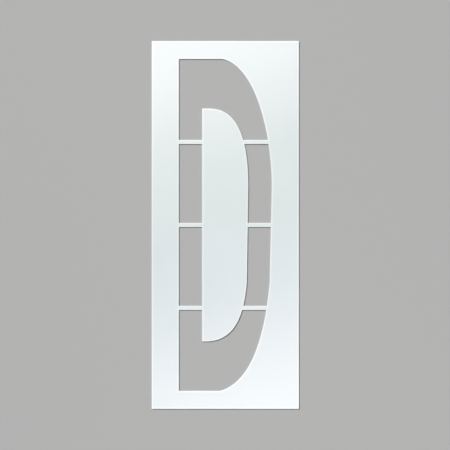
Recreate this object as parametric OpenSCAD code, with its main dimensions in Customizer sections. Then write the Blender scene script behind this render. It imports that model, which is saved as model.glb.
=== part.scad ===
// Road marking stencil: one flat plastic sheet with the openings of a tall letter cut through it.
// The sheet lies on the road. X runs across the letter, Y runs up the letter and Z is up.
// The origin is at the middle of the sheet's underside. All lengths are in millimetres.
// Each named area of the sheet is a solid of its own, and the areas meet edge to edge.

/* [Sheet] */
// Thickness of the sheet
sheet_t = 3.2; // [1.5:0.1:12]
// Width of the border on the left and on the right of the letter
side_border_w = 149.4; // [40:0.1:300]
// Height of the border above and below the letter
end_border_h = 99; // [40:0.1:300]

/* [Letter] */
// Height of the letter
letter_h = 1834; // [1400:0.1:2400]
// Width of the letter
letter_w = 514; // [400:0.5:800]
// Width of the upright stroke
stem_w = 129; // [50:0.5:200]
// Width of the curved stroke where it stands out most
bowl_w = 130; // [50:0.5:200]
// Height of the top stroke and of the bottom stroke
arm_h = 273.5; // [120:0.5:400]

/* [Bridges] */
// Width of the bridges that tie the island to the border
bridge_w = 22; // [10:0.5:60]

/* [Hidden] */

// The sheet's own plastic
sheet_colour = "#E3ECEB";

// Outer size of the sheet, and its corner at the left and the bottom
sheet_size = [letter_w + 2 * side_border_w, letter_h + 2 * end_border_h];
sheet_corner = -sheet_size / 2;

// Size of the letter, and its corner at the left and the bottom
letter_size = [letter_w, letter_h];
letter_corner = -letter_size / 2;

// Size of the counter, the closed middle of the letter, and its corner at the left and the bottom
counter_size = [letter_w - stem_w - bowl_w, letter_h - 2 * arm_h];
counter_corner = letter_corner + [stem_w, arm_h];

// Bridge centre lines, which cut the letter's height into equal quarters, from the middle line
bridge_pitch = letter_h / 4;

// Straight pieces in each curve
curve_steps = 40;

// Curve points run down from the top, as shares of the width from the left and of the height from the bottom.
// The upper and the lower curve of the letter's outer edge
outer_upper_shares = [[0.47, 1], [0.845, 0.975], [1, 0.764], [1, 0.614]];
outer_lower_shares = [[0.977, 0.325], [0.917, 0.15], [0.767, 0.027], [0.447, 0]];
// The upper and the lower curve of the counter's edge
counter_upper_shares = [[0.15, 1], [0.88, 1], [1, 0.82], [1, 0.664]];
counter_lower_shares = [[0.969, 0.252], [0.92, 0.17], [0.85, 0.005], [0.106, 0]];

// Point at share t of the curve with end points p[0] and p[3] and pull points p[1] and p[2]
function curve_point(p, t) =
    pow(1 - t, 3) * p[0] + 3 * pow(1 - t, 2) * t * p[1] + 3 * (1 - t) * pow(t, 2) * p[2] + pow(t, 3) * p[3];

// Outline of a letter form: an upright left edge, then an upper and a lower curve down the right edge
function form_outline(upper, lower) = concat(
    [[0, 0], [0, 1]],
    [for (i = [0:curve_steps]) curve_point(upper, i / curve_steps)],
    [for (i = [0:curve_steps]) curve_point(lower, i / curve_steps)]
);

// An outline given in shares, drawn at a size from its lower left corner
function drawn(shares, corner, size) = [for (s = shares) [corner.x + s.x * size.x, corner.y + s.y * size.y]];

// A flat area cut from the sheet
module cut_area() {
    color(sheet_colour) linear_extrude(sheet_t) children();
}

// Upright rectangle from its lower left corner
module rectangle(corner, size) {
    translate(corner) square(size);
}

// The whole letter with its counter filled in
module letter_outline() {
    polygon(drawn(form_outline(outer_upper_shares, outer_lower_shares), letter_corner, letter_size));
}

// The closed middle of the letter
module counter_outline() {
    polygon(drawn(form_outline(counter_upper_shares, counter_lower_shares), counter_corner, counter_size));
}

// Border above the letter, as wide as the sheet
module top_border() {
    cut_area() rectangle([sheet_corner.x, letter_corner.y + letter_h], [sheet_size.x, end_border_h]);
}

// Border below the letter, as wide as the sheet
module bottom_border() {
    cut_area() rectangle(sheet_corner, [sheet_size.x, end_border_h]);
}

// Border beside the upright stroke
module left_border() {
    cut_area() rectangle([sheet_corner.x, letter_corner.y], [side_border_w, letter_h]);
}

// Border beside the curved stroke, hollowed to the letter's outer edge
module right_border() {
    cut_area() difference() {
        rectangle(letter_corner, [letter_w + side_border_w, letter_h]);
        letter_outline();
    }
}

// Closed middle of the letter, which only the bridges hold
module counter_island() {
    cut_area() counter_outline();
}

// Bridge across the upright stroke, at a number of pitches above the middle
module left_bridge(pitches) {
    cut_area() rectangle([letter_corner.x, pitches * bridge_pitch - bridge_w / 2], [stem_w, bridge_w]);
}

// Bridge across the curved stroke, at a number of pitches above the middle
module right_bridge(pitches) {
    cut_area() difference() {
        intersection() {
            letter_outline();
            rectangle([counter_corner.x, pitches * bridge_pitch - bridge_w / 2], [letter_w, bridge_w]);
        }
        counter_outline();
    }
}

top_border();
bottom_border();
left_border();
right_border();
counter_island();
left_bridge(1);  // upper_left_bridge
right_bridge(1);  // upper_right_bridge
left_bridge(0);  // middle_left_bridge
right_bridge(0);  // middle_right_bridge
left_bridge(-1);  // lower_left_bridge
right_bridge(-1);  // lower_right_bridge
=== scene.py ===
import math
from collections import Counter

import bpy
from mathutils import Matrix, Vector


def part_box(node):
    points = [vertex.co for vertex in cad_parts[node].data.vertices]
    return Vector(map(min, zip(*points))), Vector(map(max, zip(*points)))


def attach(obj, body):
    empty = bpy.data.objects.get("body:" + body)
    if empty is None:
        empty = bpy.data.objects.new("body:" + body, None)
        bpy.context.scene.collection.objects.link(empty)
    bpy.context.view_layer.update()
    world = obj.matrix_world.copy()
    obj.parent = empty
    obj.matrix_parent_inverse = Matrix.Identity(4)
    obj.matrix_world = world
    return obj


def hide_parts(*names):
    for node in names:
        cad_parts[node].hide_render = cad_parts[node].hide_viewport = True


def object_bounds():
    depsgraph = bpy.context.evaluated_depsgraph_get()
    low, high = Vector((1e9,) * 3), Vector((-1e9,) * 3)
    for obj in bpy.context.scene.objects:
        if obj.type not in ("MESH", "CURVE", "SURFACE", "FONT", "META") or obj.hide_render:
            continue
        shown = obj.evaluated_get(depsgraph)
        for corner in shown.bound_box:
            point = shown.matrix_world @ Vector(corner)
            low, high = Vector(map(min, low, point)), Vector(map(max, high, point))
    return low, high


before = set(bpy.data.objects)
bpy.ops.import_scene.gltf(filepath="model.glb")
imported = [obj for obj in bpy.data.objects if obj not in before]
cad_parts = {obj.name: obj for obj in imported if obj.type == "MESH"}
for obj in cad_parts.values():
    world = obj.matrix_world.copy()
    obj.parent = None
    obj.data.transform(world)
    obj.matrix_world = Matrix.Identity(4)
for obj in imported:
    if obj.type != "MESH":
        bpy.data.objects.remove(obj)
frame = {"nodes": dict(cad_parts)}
cadLow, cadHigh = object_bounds()
bpy.context.scene.view_settings.view_transform = "Standard"
print("frame loaded:", len(frame["nodes"]), "areas of the sheet")


# Selecting and shaping

def pickObject(obj):  # the only one selected, and active
    bpy.ops.object.select_all(action="DESELECT")
    obj.select_set(True)
    bpy.context.view_layer.objects.active = obj


def copyOf(obj, name):
    pickObject(obj)
    bpy.ops.object.duplicate()
    bpy.context.object.name = name
    return bpy.context.object


def remove(*objects):
    bpy.ops.object.select_all(action="DESELECT")
    for obj in objects:
        obj.select_set(True)
    bpy.ops.object.delete()


def addBox(name, low, high):  # its place is in its mesh
    bpy.ops.object.select_all(action="DESELECT")
    low, high = Vector(low), Vector(high)
    bpy.ops.mesh.primitive_cube_add(size=1, calc_uvs=False, location=(low + high) / 2, scale=high - low)
    bpy.context.object.name = name
    bpy.ops.object.transform_apply(location=True, rotation=True, scale=True)
    return bpy.context.object


def applyModifier(obj, kind, **settings):
    pickObject(obj)
    bpy.ops.object.modifier_add(type=kind)
    modifier = obj.modifiers[-1]
    for name, value in settings.items():
        setattr(modifier, name, value)
    bpy.ops.object.modifier_apply(modifier=modifier.name)
    return obj


def booleanWith(piece, tool, operation):
    return applyModifier(piece, "BOOLEAN", operation=operation, object=tool, solver="EXACT")


def openAll(obj):  # edit mode with everything selected
    pickObject(obj)
    bpy.ops.object.mode_set(mode="EDIT")
    bpy.ops.mesh.select_all(action="SELECT")


def openWhere(obj, kind, isWanted):  # edit mode with only the wanted faces or points selected
    pickObject(obj)
    bpy.ops.object.mode_set(mode="EDIT")
    bpy.ops.mesh.select_mode(type=kind)
    bpy.ops.mesh.select_all(action="DESELECT")
    bpy.ops.object.mode_set(mode="OBJECT")
    for item in obj.data.polygons if kind == "FACE" else obj.data.vertices:
        item.select = isWanted(item)
    bpy.ops.object.mode_set(mode="EDIT")


def closeEdit():
    bpy.ops.object.mode_set(mode="OBJECT")


def mergeClose(obj, distance):
    openAll(obj)
    bpy.ops.mesh.remove_doubles(threshold=distance)
    closeEdit()


def dissolveMidPoints(obj):  # points that only lie along an edge
    edgeEnds = Counter(index for edge in obj.data.edges for index in edge.vertices)
    openWhere(obj, "VERT", lambda point: edgeEnds[point.index] == 2)
    bpy.ops.mesh.dissolve_verts()
    closeEdit()


def looseParts(obj):
    openAll(obj)
    bpy.ops.mesh.separate(type="LOOSE")
    closeEdit()
    return list(bpy.context.selected_objects)


# Camera, straight above the sheet

cameraSettings = {
    "pictureWidth": 2.486,  # metres across the picture, at the sheet's top face
    "middle": (-0.0018, -0.0003),  # what the picture's middle looks at
    "lens": 85.0,  # millimetres, as is the sensor
    "sensor": 36.0,
}


def addCamera(settings):
    distance = settings["pictureWidth"] * settings["lens"] / settings["sensor"]
    bpy.ops.object.select_all(action="DESELECT")
    bpy.ops.object.camera_add(location=(*settings["middle"], cadHigh.z + distance), rotation=(0, 0, 0))
    camera = bpy.context.object
    camera.data.lens = settings["lens"]
    camera.data.sensor_width = settings["sensor"]
    bpy.context.scene.camera = camera


addCamera(cameraSettings)
print("camera set")


# The letter that is cut out of the sheet

letterSettings = {
    # curves run down the right edge: shares of the width from the left, and of the height from the bottom
    "outerShares": (
        [(0.47, 1), (0.845, 0.975), (1, 0.764), (1, 0.614)],
        [(0.977, 0.325), (0.917, 0.15), (0.767, 0.027), (0.447, 0)],
    ),
    "counterShares": (
        [(0.15, 1), (0.88, 1), (1, 0.82), (1, 0.664)],
        [(0.969, 0.252), (0.92, 0.17), (0.85, 0.005), (0.106, 0)],
    ),
    "curveSteps": 90,  # no point falls near a bridge's corner, which would spoil the rounding there
    "toolReach": 0.02,  # how far the tools stand out of both faces
    "barReach": 0.03,  # how far a bridge's bar stands out of the letter
    "merge": 0.000001,  # closes the tools' own edges
}

letterLow = Vector((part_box("left_border")[1].x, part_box("bottom_border")[1].y))
letterHigh = -letterLow  # the letter stands in the middle of the sheet
counterLow, counterHigh = (corner.to_2d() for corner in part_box("counter_island"))
letterForm = letterLow, letterHigh, *letterSettings["outerShares"]
counterForm = counterLow, counterHigh, *letterSettings["counterShares"]


def grown(form, step):  # the form drawn in a box that is a step larger on every side
    low, high, upper, lower = form
    out = Vector((step, step))
    return low - out, high + out, upper, lower


def addForm(curve, low, high, upper, lower):  # closed outline: upright left edge, then the two curves
    def spot(share):
        return low.x + share[0] * (high.x - low.x), low.y + share[1] * (high.y - low.y), 0

    bpy.ops.curve.select_all(action="DESELECT")
    for share in ((0, 0), (0, 1), upper[0], upper[-1], lower[0], lower[-1]):
        bpy.ops.curve.vertex_add(location=spot(share))
    bpy.ops.curve.cyclic_toggle()
    points = curve.data.splines[-1].bezier_points
    for point in points:
        point.handle_left_type = point.handle_right_type = "VECTOR"
    for start, end, shares in ((points[2], points[3], upper), (points[4], points[5], lower)):
        start.handle_right_type = end.handle_left_type = "FREE"
        start.handle_right = spot(shares[1])
        end.handle_left = spot(shares[2])


def addFormTool(name, forms):  # solid of one or more outlines, through both faces of the sheet
    bpy.ops.object.select_all(action="DESELECT")
    bpy.ops.curve.primitive_bezier_curve_add(location=(0, 0, 0))
    curve = bpy.context.object
    curve.name = name
    curve.data.dimensions = "2D"
    curve.data.fill_mode = "BOTH"
    curve.data.resolution_u = letterSettings["curveSteps"]
    curve.data.extrude = cadHigh.z + letterSettings["toolReach"]
    bpy.ops.object.mode_set(mode="EDIT")
    bpy.ops.curve.select_all(action="SELECT")
    bpy.ops.curve.delete(type="VERT")
    for form in forms:
        addForm(curve, *form)
    closeEdit()
    bpy.ops.object.convert(target="MESH")
    bpy.ops.mesh.uv_texture_remove()
    tool = bpy.context.object
    openAll(tool)
    bpy.ops.mesh.remove_doubles(threshold=letterSettings["merge"])
    bpy.ops.mesh.normals_make_consistent(inside=False)
    closeEdit()
    return tool


def addLetterTool():  # the strokes of the letter, with the bridges left out of them
    tool = addFormTool("letterTool", [letterForm, counterForm])
    reach = Vector((letterSettings["barReach"], 0, 2 * letterSettings["toolReach"]))
    for row in ("upper", "middle", "lower"):
        low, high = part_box(row + "_left_bridge")
        high.x = letterHigh.x
        bar = addBox("bar", low - reach, high + reach)
        booleanWith(tool, bar, "DIFFERENCE")
        remove(bar)
    return tool


# The sheet, cut in one piece

sheetSettings = {
    "flatSlope": 0.999,  # a face whose normal rises more than this is flat
    "highlightBandWidth": 0.010,  # band along every cut that carries the painted highlight
    "edgeRound": 0.0005,
    "roundSteps": 3,
    "sharpAngle": math.radians(40),
}


def cutSheet(settings):
    sheet = addBox("stencilSheet", cadLow, cadHigh)
    tool = addLetterTool()
    booleanWith(sheet, tool, "DIFFERENCE")
    remove(tool)
    for side in (1, -1):  # a band of faces along the cuts, on top and underneath
        openWhere(sheet, "FACE", lambda face: face.normal.z * side > settings["flatSlope"])
        bpy.ops.mesh.inset(thickness=settings["highlightBandWidth"], use_boundary=True, use_even_offset=True)
        closeEdit()
    rounding = {"width": settings["edgeRound"], "segments": settings["roundSteps"]}
    applyModifier(sheet, "BEVEL", limit_method="ANGLE", angle_limit=settings["sharpAngle"], **rounding)
    return sheet


def markPaintedHighlight(sheet, flatSlope):  # mask of the painted highlight: 1 on the cut edges, falling to 0 across the band beside them
    mesh = sheet.data
    onEdges = {index for face in mesh.polygons if abs(face.normal.z) < flatSlope for index in face.vertices}
    paintedHighlight = mesh.attributes.new("paintedHighlightRim", "FLOAT", "CORNER")
    paintedHighlight.data.foreach_set("value", [float(loop.vertex_index in onEdges) for loop in mesh.loops])


sheet = cutSheet(sheetSettings)
markPaintedHighlight(sheet, sheetSettings["flatSlope"])
print("sheet cut:", len(sheet.data.polygons), "faces")


# Parting the sheet along the lines where its named areas meet

partingSettings = {
    "lap": 0.0006,  # the lines lie this far into the bridges, just past the rounded edges
    "merge": 0.00002,  # closes the slips that the parting leaves
    "margin": 0.05,  # how far the parting boxes stand out of the sheet
    "corners": 4,  # a face with more corners than this becomes well-shaped triangles
}


def partSheet(sheet, settings):
    lap = settings["lap"]
    letter = addFormTool("letterLine", [grown(letterForm, -lap)])
    counter = addFormTool("counterLine", [grown(counterForm, lap)])
    border = booleanWith(copyOf(sheet, "border"), letter, "DIFFERENCE")
    island = booleanWith(copyOf(sheet, "island"), counter, "INTERSECT")
    bridges = booleanWith(booleanWith(sheet, letter, "INTERSECT"), counter, "DIFFERENCE")
    margin = Vector((settings["margin"],) * 3)
    low, high = cadLow - margin, cadHigh + margin
    above = addBox("above", (low.x, letterHigh.y - lap, low.z), high)
    below = addBox("below", low, (high.x, letterLow.y + lap, high.z))
    top = booleanWith(copyOf(border, "top"), above, "INTERSECT")
    bottom = booleanWith(copyOf(border, "bottom"), below, "INTERSECT")
    sides = booleanWith(booleanWith(border, above, "DIFFERENCE"), below, "DIFFERENCE")
    remove(letter, counter, above, below)
    return [top, bottom, island] + looseParts(sides) + looseParts(bridges)


def cleanPart(part, settings):
    mergeClose(part, settings["merge"])
    dissolveMidPoints(part)
    applyModifier(part, "TRIANGULATE", min_vertices=settings["corners"] + 1, ngon_method="BEAUTY")


def middleOf(obj):
    places = [vertex.co for vertex in obj.data.vertices]
    return Vector([(min(p[axis] for p in places) + max(p[axis] for p in places)) / 2 for axis in range(3)])


def nearestNode(piece):
    spot = middleOf(piece)
    return min(frame["nodes"], key=lambda name: (sum(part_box(name), Vector()) / 2 - spot).length)


pieces = {}
for part in partSheet(sheet, partingSettings):
    cleanPart(part, partingSettings)
    pieces[nearestNode(part)] = part
print("sheet parted:", sorted(pieces))


# Node helpers and the effects that the materials share

effectSettings = {
    "cloudDetail": (3.0, 0.55),  # layers of the noise, and how much each adds
    "cloudSpan": (0.3, 0.7),  # the noise's own low and high
    "streakDetail": (2.0, 0.5),
    "hairlineDetail": (0.0, 0.5),
    "hairlineSqueeze": (0.012, 1, 1),
    "hairlineSpan": (0.74, 0.82),  # only the noise's peaks become scratches
}


def addNode(tree, kind, values=None, **settings):
    node = tree.nodes.new(kind)
    for name, value in settings.items():
        setattr(node, name, value)
    for socket, value in (values or {}).items():
        node.inputs[socket].default_value = value
    return node


def newGroup(name, inputs, output):
    tree = bpy.data.node_groups.new(name, "ShaderNodeTree")
    for socket, kind in inputs.items():
        tree.interface.new_socket(name=socket, in_out="INPUT", socket_type="NodeSocket" + kind)
    tree.interface.new_socket(name=output, in_out="OUTPUT", socket_type="NodeSocketFloat")
    return tree, addNode(tree, "NodeGroupInput").outputs, addNode(tree, "NodeGroupOutput").inputs[output]


def ranged(tree, value, low, high, fromLow=0.0, fromHigh=1.0, smooth=False):
    values = {"From Min": fromLow, "From Max": fromHigh, "To Min": low, "To Max": high}
    node = addNode(tree, "ShaderNodeMapRange", values)
    node.interpolation_type = "SMOOTHSTEP" if smooth else "LINEAR"
    tree.links.new(value, node.inputs["Value"])
    return node.outputs["Result"]


def noised(tree, place, scale, detail, roughness):
    node = addNode(tree, "ShaderNodeTexNoise", {"Detail": detail, "Roughness": roughness})
    tree.links.new(place, node.inputs["Vector"])
    tree.links.new(scale, node.inputs["Scale"])
    return node.outputs["Fac"]


def addCloudingGroup(settings):  # soft uneven patches, 0 to 1
    tree, given, cloud = newGroup("clouding", {"Place": "Vector", "Patches per Metre": "Float"}, "Cloud")
    noise = noised(tree, given["Place"], given["Patches per Metre"], *settings["cloudDetail"])
    tree.links.new(ranged(tree, noise, 0.0, 1.0, *settings["cloudSpan"]), cloud)
    return tree


def addStreaksGroup(settings):  # fine lines along the direction that is squeezed most, 0 to 1
    inputs = {"Place": "Vector", "Squeeze": "Vector", "Lines per Metre": "Float"}
    tree, given, streak = newGroup("streaks", inputs, "Streak")
    squeeze = addNode(tree, "ShaderNodeVectorMath", operation="MULTIPLY")
    tree.links.new(given["Place"], squeeze.inputs[0])
    tree.links.new(given["Squeeze"], squeeze.inputs[1])
    noise = noised(tree, squeeze.outputs["Vector"], given["Lines per Metre"], *settings["streakDetail"])
    tree.links.new(noise, streak)
    return tree


def addHairlinesGroup(settings):  # sparse fine scratches in one direction, 1 on a scratch
    inputs = {"Place": "Vector", "Turn": "Float", "Lines per Metre": "Float"}
    tree, given, line = newGroup("hairlines", inputs, "Line")
    turn = addNode(tree, "ShaderNodeVectorRotate", rotation_type="Z_AXIS")
    squeeze = addNode(tree, "ShaderNodeVectorMath", {1: settings["hairlineSqueeze"]}, operation="MULTIPLY")
    tree.links.new(given["Place"], turn.inputs["Vector"])
    tree.links.new(given["Turn"], turn.inputs["Angle"])
    tree.links.new(turn.outputs["Vector"], squeeze.inputs[0])
    noise = noised(tree, squeeze.outputs["Vector"], given["Lines per Metre"], *settings["hairlineDetail"])
    tree.links.new(ranged(tree, noise, 0.0, 1.0, *settings["hairlineSpan"]), line)
    return tree


clouding = addCloudingGroup(effectSettings)
streaks = addStreaksGroup(effectSettings)
hairlines = addHairlinesGroup(effectSettings)


def placeGroup(tree, group, place, values):
    node = addNode(tree, "ShaderNodeGroup", values, node_tree=group)
    tree.links.new(place, node.inputs["Place"])
    return node.outputs[0]


def summed(tree, first, second):
    node = addNode(tree, "ShaderNodeMath", operation="ADD")
    tree.links.new(first, node.inputs[0])
    tree.links.new(second, node.inputs[1])
    return node.outputs["Value"]


def mixed(tree, factor, first, second, blend="MIX"):  # a colour is a socket or a fixed value
    node = addNode(tree, "ShaderNodeMix", data_type="RGBA", blend_type=blend)
    for value, socket in ((factor, node.inputs[0]), (first, node.inputs[6]), (second, node.inputs[7])):
        if isinstance(value, bpy.types.NodeSocket):
            tree.links.new(value, socket)
        else:
            socket.default_value = value
    return node.outputs[2]


def bumped(tree, height, depth, under=None):
    node = addNode(tree, "ShaderNodeBump", {"Strength": 1.0, "Distance": depth})
    tree.links.new(height, node.inputs["Height"])
    if under:
        tree.links.new(under, node.inputs["Normal"])
    return node.outputs["Normal"]


def newMaterial(name):
    material = bpy.data.materials.new(name)
    material.use_nodes = True
    tree = material.node_tree
    place = addNode(tree, "ShaderNodeTexCoord").outputs["Object"]
    return material, tree, tree.nodes["Principled BSDF"].inputs, place


# Satin faces of the sheet, with a painted highlight along the cuts

faceSettings = {
    "headColour": (0.70, 0.765, 0.76, 1),
    "footColour": (0.70, 0.755, 0.776, 1),  # the plastic is a touch bluer below the middle
    "drift": (-0.16, 0.06),  # where along the letter the one turns into the other
    "cloudPatches": 3.2,
    "cloudShade": (0.988, 1.012),
    # painted highlight: a paler colour along every cut edge, standing in for light caught on the edges
    "paintedHighlightColour": (0.83, 0.87, 0.875, 1),
    "paintedHighlightFade": 0.6,  # share of the band over which the painted highlight dies away
    "paintedHighlightStrength": 0.8,
    "ior": 1.54,
    "roughness": (0.33, 0.37),
    "scratchTurns": (0.45, 2.2),  # radians from the sheet's width
    "scratchLines": 700.0,
    "scratchRoughness": 0.10,
    "grainSqueeze": (1, 1, 1),  # the same every way
    "grainLines": 900.0,
    "grainDepth": 0.00006,
    "flowSqueeze": (1, 0.006, 1),  # drawn out along the letter, as the sheet was rolled
    "flowLines": 110.0,
    "flowDepth": 0.00008,
    "wavePatches": 5.0,
    "waveDepth": 0.0003,
}


def addSatinFace(settings):
    material, tree, shader, place = newMaterial("satinFace")
    along = addNode(tree, "ShaderNodeSeparateXYZ")
    tree.links.new(place, along.inputs["Vector"])
    drift = ranged(tree, along.outputs["Y"], 0.0, 1.0, *settings["drift"], smooth=True)
    colour = mixed(tree, drift, settings["footColour"], settings["headColour"])
    cloud = placeGroup(tree, clouding, place, {"Patches per Metre": settings["cloudPatches"]})
    colour = mixed(tree, 1.0, colour, ranged(tree, cloud, *settings["cloudShade"]), "MULTIPLY")
    # the painted highlight along the cuts is mixed into the base colour; paling is its share
    paintedHighlight = addNode(tree, "ShaderNodeAttribute", attribute_name="paintedHighlightRim").outputs["Fac"]
    paling = ranged(tree, paintedHighlight, 0.0, settings["paintedHighlightStrength"], 0.0, settings["paintedHighlightFade"], smooth=True)
    colour = mixed(tree, paling, colour, settings["paintedHighlightColour"])
    tree.links.new(colour, shader["Base Color"])
    rough = ranged(tree, cloud, *settings["roughness"])
    for turn in settings["scratchTurns"]:
        values = {"Turn": turn, "Lines per Metre": settings["scratchLines"]}
        scratch = placeGroup(tree, hairlines, place, values)
        rough = summed(tree, rough, ranged(tree, scratch, 0.0, settings["scratchRoughness"]))
    tree.links.new(rough, shader["Roughness"])
    wave = placeGroup(tree, clouding, place, {"Patches per Metre": settings["wavePatches"]})
    normal = bumped(tree, wave, settings["waveDepth"])
    for part in ("flow", "grain"):
        values = {"Squeeze": settings[part + "Squeeze"], "Lines per Metre": settings[part + "Lines"]}
        normal = bumped(tree, placeGroup(tree, streaks, place, values), settings[part + "Depth"], normal)
    tree.links.new(normal, shader["Normal"])
    shader["IOR"].default_value = settings["ior"]
    return material


# Edges left by the router: milky, with its marks running down through the sheet

edgeSettings = {
    "colour": (0.55, 0.615, 0.615, 1),
    "paleColour": (0.63, 0.685, 0.685, 1),
    "ior": 1.54,
    "roughness": (0.42, 0.55),
    "markSqueeze": (1, 1, 0.04),
    "markLines": 1500.0,
    "markSpan": (0.3, 0.7),  # from the deepest marks to the highest
    "markDepth": 0.00012,
    "cloudPatches": 14.0,
}


def addRoutedEdge(settings):
    material, tree, shader, place = newMaterial("routedEdge")
    values = {"Squeeze": settings["markSqueeze"], "Lines per Metre": settings["markLines"]}
    marks = placeGroup(tree, streaks, place, values)
    cloud = placeGroup(tree, clouding, place, {"Patches per Metre": settings["cloudPatches"]})
    paling = ranged(tree, marks, 0.0, 1.0, *settings["markSpan"])
    tree.links.new(mixed(tree, paling, settings["colour"], settings["paleColour"]), shader["Base Color"])
    tree.links.new(ranged(tree, cloud, *settings["roughness"]), shader["Roughness"])
    tree.links.new(bumped(tree, marks, settings["markDepth"]), shader["Normal"])
    shader["IOR"].default_value = settings["ior"]
    return material


satinFace = addSatinFace(faceSettings)
routedEdge = addRoutedEdge(edgeSettings)
print("materials made")


# Finish of every piece

finishSettings = {
    "wallSlope": 0.3,  # a face whose normal rises less than this is a cut edge
    "smoothAngle": math.radians(40),
}


def finishPiece(piece, node, settings):
    piece.name = node + "_plastic"
    piece.data.materials.clear()
    piece.data.materials.append(satinFace)
    piece.data.materials.append(routedEdge)
    for face in piece.data.polygons:
        face.material_index = 1 if abs(face.normal.z) < settings["wallSlope"] else 0
    pickObject(piece)
    bpy.ops.object.shade_smooth_by_angle(angle=settings["smoothAngle"])
    applyModifier(piece, "WEIGHTED_NORMAL", keep_sharp=True)
    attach(piece, "root")
    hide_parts(node)


for node, piece in pieces.items():
    finishPiece(piece, node, finishSettings)
print("pieces finished:", len(pieces))


# Floor and light

floorSettings = {
    "size": 60.0,
    "drop": 0.0002,  # below the sheet's underside
    "colour": (0.43, 0.43, 0.425, 1),
    "roughness": 0.9,
}


def addFloor(settings):
    bpy.ops.object.select_all(action="DESELECT")
    bpy.ops.mesh.primitive_plane_add(size=settings["size"], location=(0, 0, cadLow.z - settings["drop"]))
    floor = bpy.context.object
    floor.name = "floor"
    material = bpy.data.materials.new("floorGrey")
    material.use_nodes = True
    shader = material.node_tree.nodes["Principled BSDF"].inputs
    shader["Base Color"].default_value = settings["colour"]
    shader["Roughness"].default_value = settings["roughness"]
    floor.data.materials.append(material)


lightSettings = {
    "fill": (0.33, 0.34, 0.34, 1),
    "backdrop": (0.45, 0.448, 0.443, 1),  # what is seen past the floor's edge
    "key": 0.66,  # share of the light on the sheet
    "keyFrom": (math.radians(135), math.radians(24)),  # bearing from +X, and height above the floor
    "keySoftness": math.radians(8),
    "panelTilt": math.radians(15.9),  # the gloss panels lie along the sheet's dull band
    "panelSize": (3.6, 2.3),
    "panelHeight": 3.2,
    "panels": [  # how far up the sheet, glow and colour
        (2.14, 6.5, (1.0, 0.86, 0.88)),
        (-2.18, 6.3, (1.0, 0.93, 0.93)),
    ],
}


def addWorld(settings):
    world = bpy.data.worlds.new("studio")
    world.use_nodes = True
    tree = world.node_tree
    rays = addNode(tree, "ShaderNodeLightPath").outputs
    seen = summed(tree, rays["Is Camera Ray"], rays["Is Glossy Ray"])
    seen = summed(tree, seen, rays["Is Transmission Ray"])
    colour = mixed(tree, seen, settings["fill"], settings["backdrop"])
    tree.links.new(colour, tree.nodes["Background"].inputs["Color"])
    bpy.context.scene.world = world


def addKey(settings):  # lights the sheet and throws its shadow, with no glint of its own
    bearing, height = settings["keyFrom"]
    bpy.ops.object.select_all(action="DESELECT")
    bpy.ops.object.light_add(type="SUN", rotation=(0, math.pi / 2 - height, bearing))
    key = bpy.context.object
    key.name = "key"
    key.data.energy = settings["key"] * math.pi / math.sin(height)
    key.data.angle = settings["keySoftness"]
    key.visible_glossy = False


def addGlossPanels(settings):  # seen only as a sheen on the two ends of the sheet
    width, depth = settings["panelSize"]
    tilt = settings["panelTilt"]
    for reach, glow, colour in settings["panels"]:
        place = (-reach * math.sin(tilt), reach * math.cos(tilt), settings["panelHeight"])
        bpy.ops.object.select_all(action="DESELECT")
        bpy.ops.object.light_add(type="AREA", location=place, rotation=(0, 0, tilt))
        panel = bpy.context.object
        panel.name = "glossPanel"
        panel.data.shape = "RECTANGLE"
        panel.data.size = width
        panel.data.size_y = depth
        panel.data.color = colour
        panel.data.energy = glow * math.pi * width * depth  # the glow is the same at any size
        panel.visible_camera = False
        panel.visible_diffuse = False


addFloor(floorSettings)
addWorld(lightSettings)
addKey(lightSettings)
addGlossPanels(lightSettings)
print("floor and light set")
